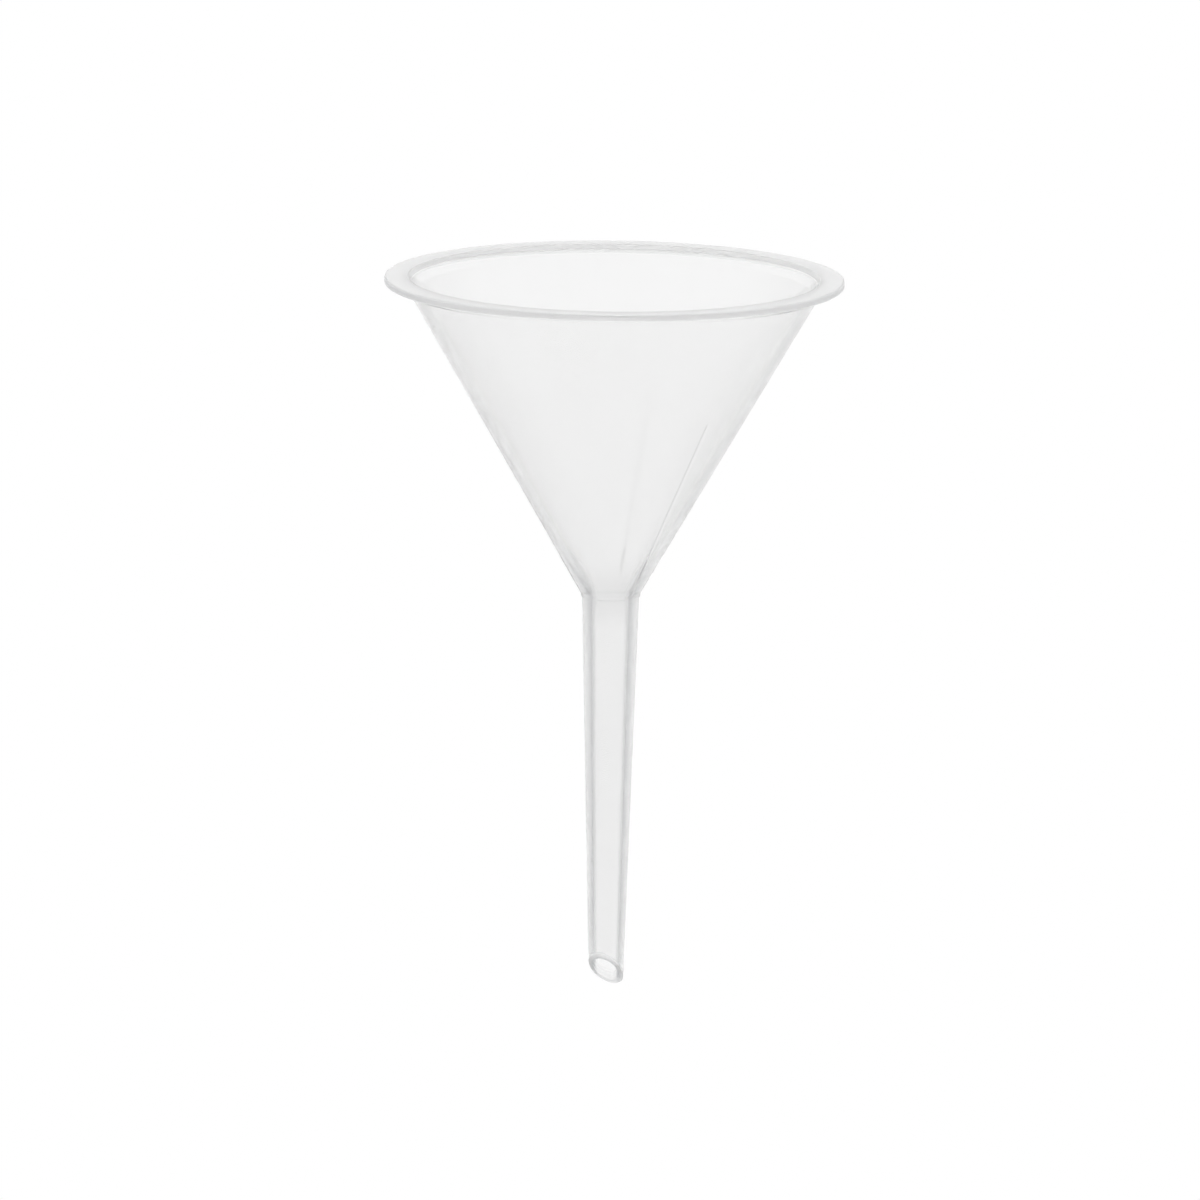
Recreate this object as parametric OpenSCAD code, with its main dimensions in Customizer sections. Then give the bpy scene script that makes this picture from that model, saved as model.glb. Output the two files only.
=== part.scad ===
/* [Rim] */
// Outside diameter of the flat rim
rim_d = 75; // [72:0.5:90]
// Thickness of the flat rim
rim_t = 1.2; // [0.8:0.1:2]
// Rounding of the rim's outer edges
rim_edge_r = 0.35; // [0.1:0.05:0.38]
// Diameter of the mouth, at the rim's inner edge
mouth_d = 67.2; // [66:0.1:68]
// Depth of the flared lip between the rim's face and the cone
lip_h = 2.2; // [1.5:0.1:3]
// Rounding of the mouth's edge
mouth_edge_r = 0.3; // [0.1:0.05:0.5]

/* [Bowl] */
// Included angle of the cone
cone_angle = 60; // [58:0.5:62]
// Inside diameter of the cone where the lip starts
bowl_d = 64; // [62:0.1:65]
// Thickness of the cone's wall, square to its face
wall_t = 1.4; // [1.1:0.1:1.8]
// Fillet under the rim, where it meets the cone
rim_fillet_r = 0.8; // [0.3:0.1:1.5]
// Rounding of the crease where the lip turns into the cone
lip_crease_r = 3; // [1:0.5:5]

/* [Throat] */
// Rounding where the cone runs into the bore
throat_edge_r = 4; // [1:0.5:8]

/* [Ribs] */
// Number of air ribs on the outside of the cone
rib_count = 3; // [2:1:6]
// Turn of the first rib about the axis
rib_turn = 107; // [0:1:360]
// Thickness of a rib
rib_t = 0.5; // [0.4:0.1:1]
// Height of a rib's long part above the wall
rib_h = 0.15; // [0.1:0.05:0.6]
// Length of a rib along the axis, from the collar towards the rim
rib_length = 30.9; // [20:0.1:40]
// Length along the axis over which a rib rises out of the wall
rib_run_in = 0.6; // [0.3:0.1:5]
// Height above the wall of a rib's foot, next to the collar
foot_h = 0.3; // [0.15:0.05:0.8]
// Length of the foot along the axis
foot_length = 6.4; // [4:0.1:10]
// Length along the axis of the step from the long part to the foot
foot_step = 0.5; // [0.3:0.1:1.5]

/* [Stem] */
// Diameter of the collar where the cone ends
collar_d = 9.7; // [9.5:0.05:11]
// Height of the collar
collar_h = 0.5; // [0.4:0.05:1.5]
// Rounding of the collar's edges
collar_edge_r = 0.15; // [0.05:0.05:0.15]
// Outside diameter of the stem at the collar
stem_d = 9.3; // [8.8:0.05:9.4]
// Outside diameter of the stem at its tip
stem_tip_d = 5.7; // [5.2:0.1:7]
// Length of the stem from the collar to the middle of the tip
stem_length = 62; // [40:0.1:90]
// Diameter of the bore at the throat
bore_d = 6.55; // [6:0.05:7]
// Diameter of the bore at the tip
bore_tip_d = 4.1; // [3.2:0.1:4.4]

/* [Tip] */
// Angle of the slanting cut, from square across the stem
tip_angle = 45; // [0:0.5:55]
// Turn of the tip's long point about the axis
tip_turn = 116; // [0:1:360]

/* [Hidden] */
$fn = 128;
// Straight steps in each rounded corner
corner_steps = 6;

half_angle = cone_angle / 2;
rim_r = rim_d / 2;
mouth_r = mouth_d / 2;
bowl_r = bowl_d / 2;
collar_r = collar_d / 2;
stem_r = stem_d / 2;
stem_tip_r = stem_tip_d / 2;
bore_r = bore_d / 2;
bore_tip_r = bore_tip_d / 2;

// Heights above the rim's face, which is the plane that the funnel stands on
inner_apex_z = lip_h + bowl_r / tan(half_angle);
outer_apex_z = inner_apex_z + wall_t / sin(half_angle);
bore_z = inner_apex_z - bore_r / tan(half_angle);
collar_z = outer_apex_z - collar_r / tan(half_angle);
collar_end_z = collar_z + collar_h;
stem_z = collar_end_z + collar_r - stem_r;
tip_z = collar_end_z + stem_length;
// The stem is drawn past the long point of the slanting cut, by its own width
stub_z = tip_z + stem_d + stem_d * tan(tip_angle);

// Radius of a straight taper at height z, from radius r0 at z0 to r1 at z1
function taper_r(z, z0, r0, z1, r1) = r0 + (r1 - r0) * (z - z0) / (z1 - z0);
// Inside and outside radius of the cone at height z
function inner_r(z) = (inner_apex_z - z) * tan(half_angle);
function outer_r(z) = (outer_apex_z - z) * tan(half_angle);

function unit(v) = v / norm(v);
function turned(v, angle) = [v.x * cos(angle) - v.y * sin(angle), v.x * sin(angle) + v.y * cos(angle)];

// Arc that rounds the corner at b of the path from a over b to c
function corner_arc(a, b, c, radius) =
    let (
        to_a = unit(a - b),
        to_c = unit(c - b),
        half_corner = acos(to_a * to_c) / 2,
        centre = b + unit(to_a + to_c) * radius / sin(half_corner),
        start = b + to_a * radius / tan(half_corner) - centre,
        sweep = sign(cross(b - a, c - b)) * (180 - 2 * half_corner)
    )
    [for (i = [0:corner_steps]) centre + turned(start, sweep * i / corner_steps)];

// Closed outline from corners written [radius, height, rounding]
function rounded(corners) =
    let (
        count = len(corners),
        points = [for (corner = corners) [corner.x, corner.y]]
    )
    [for (i = [0:count - 1])
        each corners[i].z > 0
            ? corner_arc(points[(i + count - 1) % count], points[i], points[(i + 1) % count], corners[i].z)
            : [points[i]]];

// Half of the funnel's section: out along the rim, up the outside, back down the bore and the cone
section = rounded([
    [mouth_r, 0, mouth_edge_r],
    [rim_r, 0, rim_edge_r],
    [rim_r, rim_t, rim_edge_r],
    [outer_r(rim_t), rim_t, rim_fillet_r],
    [collar_r, collar_z, collar_edge_r],
    [collar_r, collar_end_z, collar_edge_r],
    [stem_r, stem_z, collar_edge_r],
    [taper_r(stub_z, stem_z, stem_r, tip_z, stem_tip_r), stub_z, 0],
    [taper_r(stub_z, bore_z, bore_r, tip_z, bore_tip_r), stub_z, 0],
    [bore_r, bore_z, throat_edge_r],
    [bowl_r, lip_h, lip_crease_r],
]);

// Heights along a rib, from its upper end on the wall to its foot at the collar
rib_z = collar_z - rib_length;
rib_full_z = rib_z + rib_run_in;
foot_z = collar_z - foot_length;
foot_full_z = foot_z + foot_step;
// Depth to which a rib is rooted in the wall
rib_root = wall_t / 2;

// Side of a rib, as radius and height
rib_side = [
    [outer_r(rib_z), rib_z],
    [outer_r(rib_full_z) + rib_h, rib_full_z],
    [outer_r(foot_z) + rib_h, foot_z],
    [outer_r(foot_full_z) + foot_h, foot_full_z],
    [collar_r + foot_h, collar_z],
    [collar_r, collar_end_z],
    [collar_r - rib_root, collar_end_z],
    [outer_r(rib_z) - rib_root, rib_z],
];

// One thin rib down the outside of the cone, with a slightly higher foot
module rib() {
    rotate([90, 0, 0])
        translate([0, 0, -rib_t / 2])
            linear_extrude(rib_t) polygon(rib_side);
}

// Everything beyond the slanting cut at the stem's tip
module beyond_tip() {
    translate([0, 0, tip_z])
        rotate([0, -tip_angle, tip_turn])
            translate([-stub_z / 2, -stub_z / 2, 0]) cube(stub_z);
}

// Laboratory funnel moulded in one piece: flat rim, cone with air ribs, tapering stem with a slanting tip
module funnel() {
    color("whitesmoke", 0.6)
        difference() {
            union() {
                rotate_extrude() polygon(section);
                for (i = [0:rib_count - 1])
                    rotate([0, 0, rib_turn + 360 * i / rib_count]) rib();
            }
            beyond_tip();
        }
}

funnel();
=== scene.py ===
from math import radians

import bpy
import numpy as np
from mathutils import Matrix, Vector


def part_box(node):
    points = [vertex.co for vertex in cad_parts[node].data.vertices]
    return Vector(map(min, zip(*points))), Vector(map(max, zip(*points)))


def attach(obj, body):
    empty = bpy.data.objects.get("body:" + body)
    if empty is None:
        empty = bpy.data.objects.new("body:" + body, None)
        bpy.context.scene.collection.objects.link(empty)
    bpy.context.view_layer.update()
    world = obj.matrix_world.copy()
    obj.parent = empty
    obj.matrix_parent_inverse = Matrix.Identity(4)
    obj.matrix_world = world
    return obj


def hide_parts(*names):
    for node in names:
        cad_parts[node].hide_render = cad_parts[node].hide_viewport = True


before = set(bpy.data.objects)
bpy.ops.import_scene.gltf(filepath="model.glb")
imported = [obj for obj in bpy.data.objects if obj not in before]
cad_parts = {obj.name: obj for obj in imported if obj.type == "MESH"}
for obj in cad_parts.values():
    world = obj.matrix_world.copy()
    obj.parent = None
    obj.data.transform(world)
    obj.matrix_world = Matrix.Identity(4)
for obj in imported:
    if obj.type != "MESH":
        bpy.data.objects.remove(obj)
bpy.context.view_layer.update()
scene = bpy.context.scene
scene.view_settings.view_transform = "Standard"

# Camera. The funnel is photographed mouth up and stored mouth down, so the camera looks at it from
# below the floor with its own top turned down. It stands far off, a little above the open mouth.
MM = 0.001
view_distance = 6000 * MM
view_tilt = radians(9.9)
view_roll = radians(0.7)
view_width = 195.65 * MM
view_centre = Vector((1.72 * MM, 0, 53.3 * MM))

lens = bpy.data.cameras.new("camera")
camera = bpy.data.objects.new("camera", lens)
scene.collection.objects.link(camera)
scene.camera = camera
lens.lens = lens.sensor_width * view_distance / view_width
level_right = Vector((-1, 0, 0))
level_up = Vector((0, np.sin(view_tilt), -np.cos(view_tilt)))
back = Vector((0, -np.cos(view_tilt), -np.sin(view_tilt)))
right = np.cos(view_roll) * level_right + np.sin(view_roll) * level_up
up = back.cross(right)
camera.matrix_world = (
    Matrix.Translation(view_centre + view_distance * back)
    @ Matrix((right, up, back)).transposed().to_4x4()
)


# Studio. A white tent all round, one large soft lamp overhead and a pale floor for the rim to stand on.
# The floor is painted on its upper side only, so it hides nothing from a camera underneath.
def linear(code):
    """Linear colour of an sRGB hex code: each channel is divided by 12.92 when dark, else raised to 2.4."""
    share = np.array([int(code[i:i + 2], 16) for i in (1, 3, 5)]) / 255
    dark = share / 12.92
    pale = ((share + 0.055) / 1.055) ** 2.4
    return (*np.where(share <= 0.04045, dark, pale), 1)


def add(tree, kind, inputs=None, **settings):
    """Adds a node: settings go to its properties, and inputs set its sockets or link them to others."""
    made = tree.nodes.new(kind)
    for name, value in settings.items():
        setattr(made, name, value)
    for name, value in (inputs or {}).items():
        if isinstance(value, bpy.types.NodeSocket):
            tree.links.new(value, made.inputs[name])
        else:
            made.inputs[name].default_value = value
    return made


def empty_material(name):
    """A material with an output node and nothing else, with its tree and that node."""
    made = bpy.data.materials.new(name)
    made.use_nodes = True
    made.node_tree.nodes.clear()
    return made, made.node_tree, add(made.node_tree, "ShaderNodeOutputMaterial")


# The tent shows as full white, and lights the funnel a little below that
tent_white = linear("#FFFFFF")
tent_light = 0.92
world = bpy.data.worlds.new("white tent")
world.use_nodes = True
scene.world = world
tent = world.node_tree
tent.nodes.clear()
path = add(tent, "ShaderNodeLightPath").outputs
looked_at = add(
    tent, "ShaderNodeMath", {0: path["Is Camera Ray"], 1: path["Is Glossy Ray"]}, operation="MAXIMUM"
).outputs[0]
seen = add(
    tent, "ShaderNodeMath", {0: looked_at, 1: path["Is Transmission Ray"]}, operation="MAXIMUM"
).outputs[0]
strength = add(tent, "ShaderNodeMapRange", {"Value": seen, "To Min": tent_light}).outputs["Result"]
background = add(tent, "ShaderNodeBackground", {"Color": tent_white, "Strength": strength}).outputs[0]
add(tent, "ShaderNodeOutputWorld", {"Surface": background})

lamp_size = 700 * MM
lamp_height = 900 * MM
lamp_power = 1.0
lamp_light = bpy.data.lights.new("overhead softbox", "AREA")
lamp_light.shape = "DISK"
lamp_light.size = lamp_size
lamp_light.energy = lamp_power
lamp = bpy.data.objects.new("overhead softbox", lamp_light)
lamp.location = (-lamp_size / 2, -lamp_size / 2, lamp_height)
lamp.rotation_euler = (-lamp.location).to_track_quat("-Z", "Y").to_euler()
lamp.visible_glossy = False
lamp.visible_transmission = False
scene.collection.objects.link(lamp)

floor_size = 20000 * MM
floor_near = 200 * MM
floor_far = 1000 * MM
# The floor lies a hair above the rim's face, so that the two never share a plane
floor_rise = 0.02 * MM
floor_white = linear("#FDFDFD")
floor_mesh = bpy.data.meshes.new("floor")
floor_corners = np.array([(-1, -1, 0), (1, -1, 0), (1, 1, 0), (-1, 1, 0)]) * floor_size / 2
floor_mesh.from_pydata(floor_corners.tolist(), [], [(0, 1, 2, 3)])
floor = bpy.data.objects.new("floor", floor_mesh)
floor.location.z = floor_rise
floor.visible_glossy = False
floor.visible_transmission = False
scene.collection.objects.link(floor)

# Pale studio floor, matt paint that keeps the shadow near the funnel and fades into the tent further off
floor_paint, floor_tree, floor_output = empty_material("pale studio floor")
paint = add(floor_tree, "ShaderNodeBsdfDiffuse", {"Color": floor_white}).outputs[0]
clear = add(floor_tree, "ShaderNodeBsdfTransparent").outputs[0]
white = add(floor_tree, "ShaderNodeEmission", {"Color": tent_white}).outputs[0]
floor_place = add(floor_tree, "ShaderNodeTexCoord").outputs["Object"]
away = add(floor_tree, "ShaderNodeVectorMath", {0: floor_place}, operation="LENGTH").outputs["Value"]
far_share = add(
    floor_tree,
    "ShaderNodeMapRange",
    {"Value": away, "From Min": floor_near, "From Max": floor_far},
    interpolation_type="SMOOTHSTEP",
).outputs["Result"]
camera_ray = add(floor_tree, "ShaderNodeLightPath").outputs["Is Camera Ray"]
fade = add(floor_tree, "ShaderNodeMath", {0: far_share, 1: camera_ray}, operation="MULTIPLY").outputs[0]
seamless = add(floor_tree, "ShaderNodeMixShader", {0: fade, 1: paint, 2: white}).outputs[0]
under = add(floor_tree, "ShaderNodeNewGeometry").outputs["Backfacing"]
one_sided = add(floor_tree, "ShaderNodeMixShader", {0: under, 1: seamless, 2: clear}).outputs[0]
floor_tree.links.new(one_sided, floor_output.inputs["Surface"])
floor_mesh.materials.append(floor_paint)

# Funnel. A laboratory funnel, injection moulded in one piece from natural polypropylene: a flat rim round
# the mouth, a 60 degree cone with three low air ribs outside, and a tapering stem with a slanting tip.
low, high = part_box("funnel")
rim_r = (high.x - low.x) / 2
rim_t = 1.2 * MM
rim_edge_r = 0.35 * MM
mouth_r = 33.6 * MM
mouth_edge_r = 0.3 * MM
lip_h = 2.2 * MM
lip_crease_r = 3 * MM
bowl_r = 32 * MM
wall_t = 1.4 * MM
rim_fillet_r = 0.8 * MM
cone_half_angle = radians(30)
cone_slope = np.tan(cone_half_angle)
throat_edge_r = 4 * MM
collar_r = 4.85 * MM
collar_h = 0.5 * MM
collar_edge_r = 0.15 * MM
stem_r = 4.65 * MM
stem_tip_r = 2.85 * MM
stem_length = 62 * MM
bore_r = 3.275 * MM
bore_tip_r = 2.05 * MM
tip_angle = radians(45)
tip_turn = radians(116)
tip_edge = 0.15 * MM
tip_stretch = 9 * MM

# Heights above the rim's face
inner_apex = lip_h + bowl_r / cone_slope
outer_apex = inner_apex + wall_t / np.sin(cone_half_angle)
bore_z = inner_apex - bore_r / cone_slope
collar_z = outer_apex - collar_r / cone_slope
collar_end = collar_z + collar_h
stem_z = collar_end + collar_r - stem_r
tip_z = collar_end + stem_length

# The ribs are lower and softer than moulded ones, because sharp ones trap the light as black lines
rib_count = 3
rib_turn = radians(107)
rib_half_t = 0.25 * MM
rib_rise = 0.045 * MM
rib_length = 30.9 * MM
rib_run_in = 0.6 * MM
foot_rise = 0.045 * MM
foot_length = 6.4 * MM
foot_step = 0.5 * MM
rib_top = collar_z - rib_length
rib_full = rib_top + rib_run_in
foot_top = collar_z - foot_length
foot_full = foot_top + foot_step

# Points on a rounded corner, the way from ring to ring, and the way from a corner to the rings beside it
corner_points = 7
ring_spacing = 1.6 * MM
ring_support = 0.12 * MM


def rounded(corners):
    """Points along a path of corners (radius, height, rounding), and the path's length so far at each.

    Each inner corner becomes an arc that touches both legs: its centre lies on the bisector, the rounding
    over the sine of half the corner away, and its points turn evenly from one touching point to the other.
    """
    place = np.array(corners)[:, :2]
    rounding = np.array(corners)[1:-1, 2:]
    leg = place[1:] - place[:-1]
    along = leg / np.linalg.norm(leg, axis=1, keepdims=True)
    ahead = along[1:]
    behind = -along[:-1]
    half = np.arccos((ahead * behind).sum(1, keepdims=True)) / 2
    centre = place[1:-1] + (ahead + behind) / (2 * np.cos(half)) * rounding / np.sin(half)
    start = place[1:-1] + behind * rounding / np.tan(half) - centre
    end = place[1:-1] + ahead * rounding / np.tan(half) - centre
    sweep = (np.pi - 2 * half)[:, None]
    share = np.linspace(0, 1, corner_points)[None, :, None]
    arcs = np.sin((1 - share) * sweep) * start[:, None] + np.sin(share * sweep) * end[:, None]
    arcs = arcs / np.sin(sweep) + centre[:, None]
    points = np.vstack([place[:1], arcs.reshape(-1, 2), place[-1:]])
    return points, np.append(0, np.cumsum(np.linalg.norm(points[1:] - points[:-1], axis=1)))


# The section runs from the tip along the bore and the bowl to the rim, and along the outside back to the tip
outline, run = rounded([
    (bore_tip_r, tip_z, 0),
    (bore_r, bore_z, throat_edge_r),
    (bowl_r, lip_h, lip_crease_r),
    (mouth_r, 0, mouth_edge_r),
    (rim_r, 0, rim_edge_r),
    (rim_r, rim_t, rim_edge_r),
    ((outer_apex - rim_t) * cone_slope, rim_t, rim_fillet_r),
    (collar_r, collar_z, collar_edge_r),
    (collar_r, collar_end, collar_edge_r),
    (stem_r, stem_z, collar_edge_r),
    (stem_tip_r, tip_z, 0),
])
arc_starts = run[1:-1:corner_points]
arc_ends = run[corner_points:-1:corner_points]
throat_arc, crease_arc, mouth_arc, face_arc, back_arc, fillet_arc, collar_arc, end_arc, stem_arc = zip(
    arc_starts, arc_ends
)
rim_run = run[np.argmax(outline[:, 0])]
outside = run > rim_run

# Rings of the mesh: on each arc and close beside it, at the ribs' steps, where the lip turns cloudy, and
# evenly spaced between
lip_cloud_h = 0.7 * MM
cloud_start = mouth_arc[0] - lip_cloud_h
rib_heights = [rib_top, rib_full, foot_top, foot_full, collar_z, collar_end]
rib_lifts = [0, rib_rise, rib_rise, rib_rise, rib_rise, 0]
foot_lifts = [0, 0, 0, foot_rise, foot_rise, 0]
even = np.arange(ring_spacing, run[-1], ring_spacing)
apart = (even[:, None] < arc_starts - ring_support) | (even[:, None] > arc_ends + ring_support)
stations = np.unique(np.concatenate([
    run,
    even[apart.all(1)],
    arc_starts - ring_support,
    arc_ends + ring_support,
    [cloud_start - ring_support, cloud_start],
    np.interp(rib_heights[:4], outline[outside, 1], run[outside]),
]))
on_outside = stations > rim_run
ring_r = np.interp(stations, run, outline[:, 0])
ring_z = np.interp(stations, run, outline[:, 1])
ring_lift = np.where(on_outside, np.interp(ring_z, rib_heights, rib_lifts), 0)
ring_foot = np.where(on_outside, np.interp(ring_z, rib_heights, foot_lifts), 0)

# Columns across half a rib, as shares of its half thickness, and the share of each rise there
column_count = 90
rib_shares = np.array([0, 0.4, 0.65, 0.85, 1, 1.3, 1.7])
rise_shares = np.array([1, 0.85, 0.67, 0.5, 0.4, 0.18, 0])
foot_shares = np.array([1, 0.97, 0.85, 0.5, 0.15, 0, 0])


def on_ribs(shares):
    """Shares on every column: those across half a rib, mirrored about its middle, and none in between."""
    return np.tile(np.concatenate([shares[:0:-1], shares, np.zeros(column_count)]), rib_count)


def column_turns(radius):
    """Turn of every column about the axis, for rings of the given radii.

    Next to a rib the columns keep their distance from its middle, so their turn is the arc sine of that
    distance over the radius; the others divide the way to the next rib evenly.
    """
    offsets = rib_half_t * np.append(-rib_shares[:0:-1], rib_shares)
    near = np.arcsin(offsets / radius[:, None])
    sector = 2 * np.pi / rib_count
    share = np.linspace(0, 1, column_count + 2)[1:-1]
    far = near[:, -1:] + (sector - 2 * near[:, -1:]) * share
    one = np.hstack([near, far]) + rib_turn
    return np.hstack([one + sector * i for i in range(rib_count)])


def slant_cut(radius, height, turn, tip_r, taper):
    """Radius and height of a tapering wall whose end is moved on to the slanting plane of the tip.

    On that plane the height above the middle of the tip is the slope times the distance towards the long
    point. The shift fades out evenly over the last stretch of the wall, and the radius follows the taper.
    """
    towards = np.tan(tip_angle) * np.cos(turn - tip_turn)
    shift = towards * tip_r / (1 + taper * towards)
    shift = shift * np.clip(1 - (tip_z - height) / tip_stretch, 0, 1)[:, None]
    return radius - taper * shift, height[:, None] + shift


turn = column_turns(ring_r)
rib_lift = ring_lift[:, None] * on_ribs(rise_shares) + ring_foot[:, None] * on_ribs(foot_shares)
lifted = ring_r[:, None] + rib_lift
bore_taper = (bore_r - bore_tip_r) / (tip_z - bore_z)
stem_taper = (stem_r - stem_tip_r) / (tip_z - stem_z)
bore = slant_cut(lifted, ring_z, turn, bore_tip_r, bore_taper)
stem = slant_cut(lifted, ring_z, turn, stem_tip_r, stem_taper)
radius, height = np.where(on_outside[:, None], stem, bore)
walls = np.stack([radius * np.cos(turn), radius * np.sin(turn), height], axis=-1)


def rounded_edge(wall_ring, edge, face_ring):
    """Rings of a small rounding: a parabola from a point on the wall, by the edge, to one on the face."""
    along = (wall_ring - edge) / np.linalg.norm(wall_ring - edge, axis=1, keepdims=True) * tip_edge
    across = (face_ring - edge) / np.linalg.norm(face_ring - edge, axis=1, keepdims=True) * tip_edge
    share = np.linspace(0, 1, corner_points)[:, None, None]
    return edge + (1 - share) ** 2 * along + share ** 2 * across


outer_edge = rounded_edge(walls[-2], walls[-1], walls[0])
inner_edge = rounded_edge(walls[1], walls[0], walls[-1])[::-1]
rings = np.concatenate([walls[1:-1], outer_edge, inner_edge])
point = np.arange(rings[..., 0].size).reshape(rings.shape[:2])
next_ring = np.roll(point, -1, axis=0)
next_column = np.roll(point, -1, axis=1)
quads = np.stack([point, next_column, np.roll(next_column, -1, axis=0), next_ring], axis=-1)
funnel_mesh = bpy.data.meshes.new("funnel_moulding")
funnel_mesh.from_pydata(rings.reshape(-1, 3), [], quads.reshape(-1, 4))
funnel_mesh.shade_smooth()


# Natural polypropylene, moulded against a semi-polished tool: clear enough to see the far wall through, but
# cloudy where it is thick, with faint streaks along the way the melt flowed from the tip to the rim.
def with_tip(along, outer, inner):
    """Values on every ring: those along the walls, then one each for the tip's outer and inner rounding."""
    return np.concatenate([
        along[1:-1],
        np.repeat([outer], corner_points, axis=0),
        np.repeat([inner], corner_points, axis=0),
    ])


def store(name, values):
    """Keeps a number for each point of the mesh, from values for each ring or for each ring and column."""
    spread = np.broadcast_to(values, point.shape)
    funnel_mesh.attributes.new(name, "FLOAT", "POINT").data.foreach_set("value", spread.ravel())


# Streaks keep to one turn about the axis, so they are placed on a cylinder, by turn and by run
flow_r = 20 * MM
flow = np.stack(
    [flow_r * np.cos(turn), flow_r * np.sin(turn), np.broadcast_to(stations[:, None], turn.shape)], axis=-1
)
flow = with_tip(flow, flow[-1], flow[0])
funnel_mesh.attributes.new("flow", "FLOAT_VECTOR", "POINT").data.foreach_set("vector", flow.ravel())

# Painted shade at a grazing angle, for the dark outlines that refraction draws in the walls: most in the
# bore, less in the bowl and on the rim's edge
throat_fade = 9 * MM
bore_grazing_shade = 1.0
throat_grazing_shade = 0.3
bowl_grazing_shade = 0.19
rim_grazing_shade = 0.25
grazing_shade_runs = [
    (throat_arc[1], bore_grazing_shade),
    (throat_arc[1] + throat_fade, throat_grazing_shade),
    (crease_arc[0], bowl_grazing_shade),
    (crease_arc[1], 0),
    (face_arc[0], 0),
    (face_arc[1], rim_grazing_shade),
    (back_arc[0], rim_grazing_shade),
    (back_arc[1], 0),
]
ring_grazing_shade = np.interp(stations, *np.transpose(grazing_shade_runs))
store("grey", with_tip(ring_grazing_shade, 0, bore_grazing_shade)[:, None])

# How cloudy the plastic is: most at the solid rim and the tip, less at the lip and round the neck
neck_fade = 5 * MM
neck_cloud = 0.2
collar_cloud = 0.25
lip_cloud = 0.4
rim_cloud = 1.0
tip_cloud = 0.7
cloud_runs = [
    (throat_arc[0] - neck_fade, 0),
    (throat_arc[0], neck_cloud),
    (throat_arc[1], neck_cloud),
    (throat_arc[1] + neck_fade, 0),
    (cloud_start - ring_support, 0),
    (cloud_start, lip_cloud),
    (mouth_arc[0], lip_cloud),
    (mouth_arc[1], rim_cloud),
    (fillet_arc[1], rim_cloud),
    (fillet_arc[1] + ring_support, 0),
    (collar_arc[0] - neck_fade, 0),
    (collar_arc[0], neck_cloud),
    (end_arc[0] - ring_support, neck_cloud),
    (end_arc[0], collar_cloud),
    (stem_arc[1], collar_cloud),
    (stem_arc[1] + ring_support, neck_cloud),
    (stem_arc[1] + neck_fade, 0),
]
ring_cloud = np.interp(stations, *np.transpose(cloud_runs))
store("cloud", with_tip(ring_cloud, tip_cloud, tip_cloud)[:, None])

# Painted shade on the ribs: a grey core in place of the dark line each rib makes in the light, most in its
# foot, and not at all near the collar, where it runs into the neck
rib_shade_level = 0.28
foot_shade_level = 0.8
rib_shade_end = 2 * MM
rib_shade_shares = np.array([1, 1, 0.9, 0.6, 0.2, 0, 0])
ring_rib_shade = rib_shade_level * (ring_lift > 0) + (foot_shade_level - rib_shade_level) * (ring_foot > 0)
ring_rib_shade = ring_rib_shade * (ring_z < collar_z - rib_shade_end)
store("core", with_tip(ring_rib_shade, 0, 0)[:, None] * on_ribs(rib_shade_shares))

# Colour, with streaks of slightly dimmer plastic and the ribs' painted shade as grey cores
streak_width = 1.5 * MM
streak_length = 40 * MM
streak_detail = 3
streak_dim = linear("#FCFCFC")
streak_pale = linear("#FFFFFF")
rib_shade_grey = linear("#A8A8A8")
polypropylene, tree, output = empty_material("natural polypropylene")
flow_place = add(tree, "ShaderNodeAttribute", attribute_name="flow").outputs["Vector"]
streak_place = add(
    tree, "ShaderNodeMapping", {"Vector": flow_place, "Scale": (1, 1, streak_width / streak_length)}
).outputs[0]
streaks = add(
    tree, "ShaderNodeTexNoise", {"Vector": streak_place, "Scale": 1 / streak_width, "Detail": streak_detail}
).outputs["Fac"]
streak_colour = add(
    tree, "ShaderNodeMix", {"Factor": streaks, "A": streak_dim, "B": streak_pale}, data_type="RGBA"
).outputs["Result"]
rib_shade_share = add(tree, "ShaderNodeAttribute", attribute_name="core").outputs["Fac"]
colour = add(
    tree, "ShaderNodeMix", {"Factor": rib_shade_share, "A": streak_colour, "B": rib_shade_grey}, data_type="RGBA"
).outputs["Result"]

# Gloss that varies in soft patches, and a skin that waves a little with the streaks
patch_size = 9 * MM
patch_detail = 2
gloss_low = 0.08
gloss_high = 0.16
wave_height = 0.02 * MM
wave_strength = 0.3
plastic_ior = 1.49
place = add(tree, "ShaderNodeTexCoord").outputs["Object"]
patches = add(
    tree, "ShaderNodeTexNoise", {"Vector": place, "Scale": 1 / patch_size, "Detail": patch_detail}
).outputs["Fac"]
gloss = add(
    tree, "ShaderNodeMapRange", {"Value": patches, "To Min": gloss_low, "To Max": gloss_high}
).outputs["Result"]
waves = add(
    tree, "ShaderNodeBump", {"Height": streaks, "Strength": wave_strength, "Distance": wave_height}
).outputs["Normal"]
clear_plastic = add(
    tree,
    "ShaderNodeBsdfPrincipled",
    {
        "Base Color": colour,
        "Roughness": gloss,
        "Normal": waves,
        "IOR": plastic_ior,
        "Transmission Weight": 1.0,
    },
).outputs[0]
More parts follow.
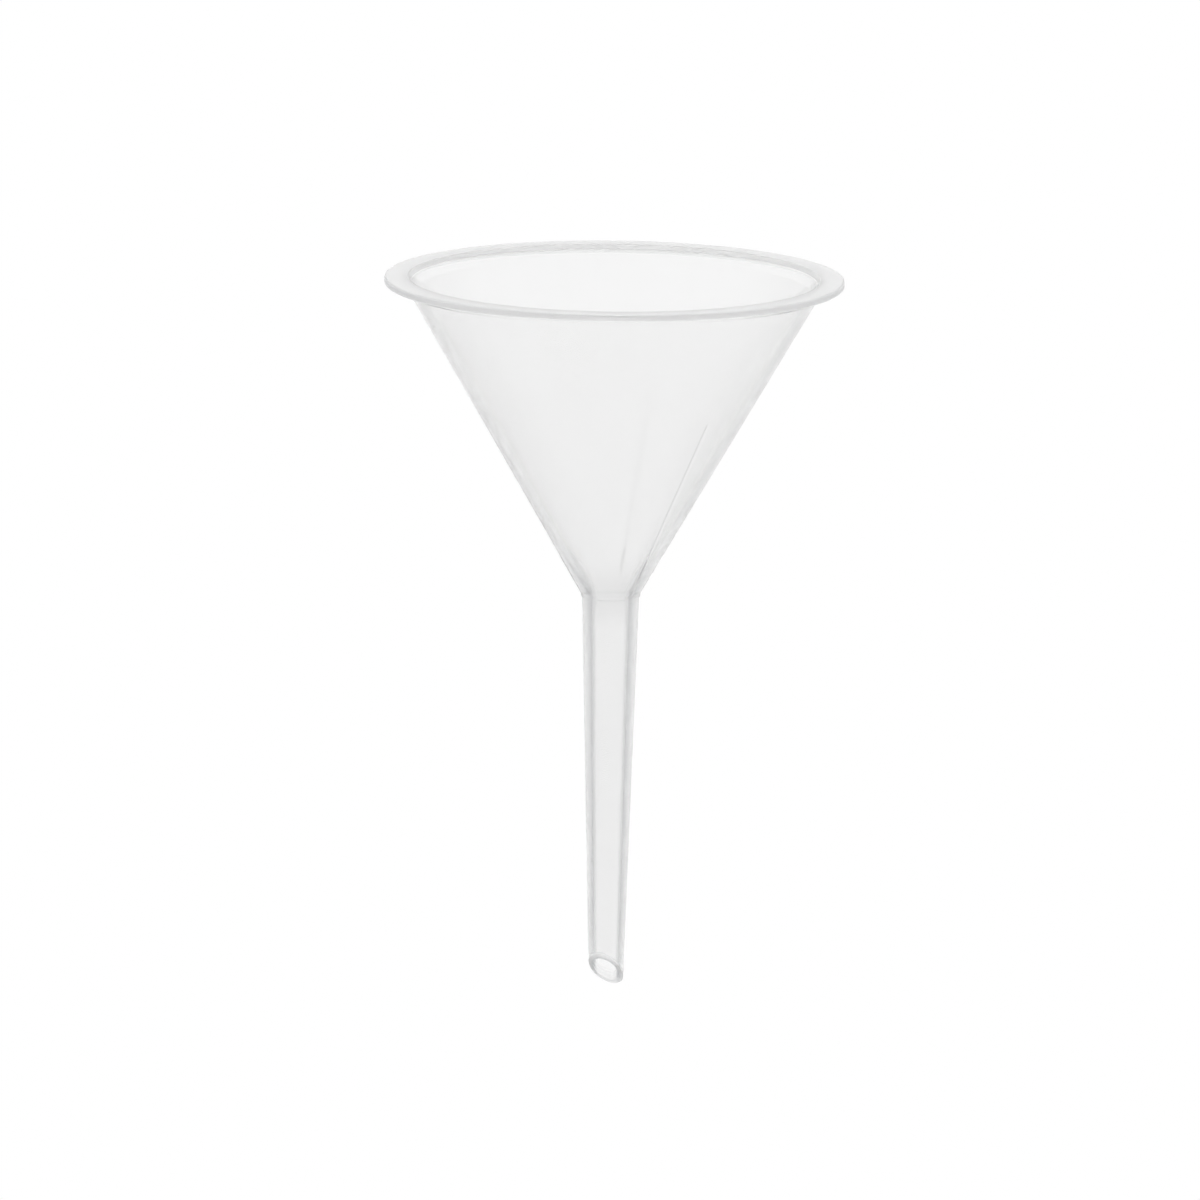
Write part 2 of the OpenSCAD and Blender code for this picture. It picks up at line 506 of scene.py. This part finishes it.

# Greying at a grazing angle, painted shade for the dark outlines that refraction draws in the walls. Met
# from within the plastic, a wall greys sooner and then clears again, which leaves a painted dark line.
graze_start = 0.2
graze_air = 0.65
graze_plastic = 0.27
line_end = 0.5
line_left = 0.3
grazing_shade_share = add(tree, "ShaderNodeAttribute", attribute_name="grey").outputs["Fac"]
facing = add(tree, "ShaderNodeLayerWeight", {"Normal": waves}).outputs["Facing"]
within = add(tree, "ShaderNodeNewGeometry").outputs["Backfacing"]
graze_full = add(
    tree, "ShaderNodeMapRange", {"Value": within, "To Min": graze_air, "To Max": graze_plastic}
).outputs["Result"]
graze = add(
    tree,
    "ShaderNodeMapRange",
    {"Value": facing, "From Min": graze_start, "From Max": graze_full},
    interpolation_type="SMOOTHSTEP",
).outputs["Result"]
past_line = add(
    tree, "ShaderNodeMapRange", {"Value": within, "To Min": 1.0, "To Max": line_left}
).outputs["Result"]
line = add(
    tree,
    "ShaderNodeMapRange",
    {"Value": facing, "From Min": graze_plastic, "From Max": line_end, "To Min": 1.0, "To Max": past_line},
).outputs["Result"]
graze_line = add(tree, "ShaderNodeMath", {0: graze, 1: line}, operation="MULTIPLY").outputs[0]
edge = add(tree, "ShaderNodeMath", {0: graze_line, 1: grazing_shade_share}, operation="MULTIPLY").outputs[0]

# Haze, which throws half of its light back and lets half through, over the clear plastic. It thickens where
# the way through the wall is long; its grey at a grazing angle is painted shade
haze_pale = linear("#FFFFFF")
haze_shade_grey = linear("#C0C2C4")
haze_through_share = 0.5
skin_clear = 0.89
thick_clear = 0.35
edge_loss = 0.45
cloud_share = add(tree, "ShaderNodeAttribute", attribute_name="cloud").outputs["Fac"]
wall_clear = add(
    tree, "ShaderNodeMapRange", {"Value": cloud_share, "To Min": skin_clear, "To Max": thick_clear}
).outputs["Result"]
edge_clear = add(
    tree, "ShaderNodeMapRange", {"Value": edge, "To Min": 1.0, "To Max": 1 - edge_loss}
).outputs["Result"]
clear_share = add(tree, "ShaderNodeMath", {0: wall_clear, 1: edge_clear}, operation="MULTIPLY").outputs[0]
haze_and_shade_colour = add(
    tree, "ShaderNodeMix", {"Factor": edge, "A": haze_pale, "B": haze_shade_grey}, data_type="RGBA"
).outputs["Result"]
haze_back = add(tree, "ShaderNodeBsdfDiffuse", {"Color": haze_and_shade_colour, "Normal": waves}).outputs[0]
haze_through = add(tree, "ShaderNodeBsdfTranslucent", {"Color": haze_and_shade_colour, "Normal": waves}).outputs[0]
haze = add(tree, "ShaderNodeMixShader", {0: haze_through_share, 1: haze_back, 2: haze_through}).outputs[0]
plastic = add(tree, "ShaderNodeMixShader", {0: clear_share, 1: haze, 2: clear_plastic}).outputs[0]
tree.links.new(plastic, output.inputs["Surface"])
funnel_mesh.materials.append(polypropylene)

funnel = bpy.data.objects.new("funnel_moulding", funnel_mesh)
scene.collection.objects.link(funnel)
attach(funnel, "root")
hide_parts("funnel")
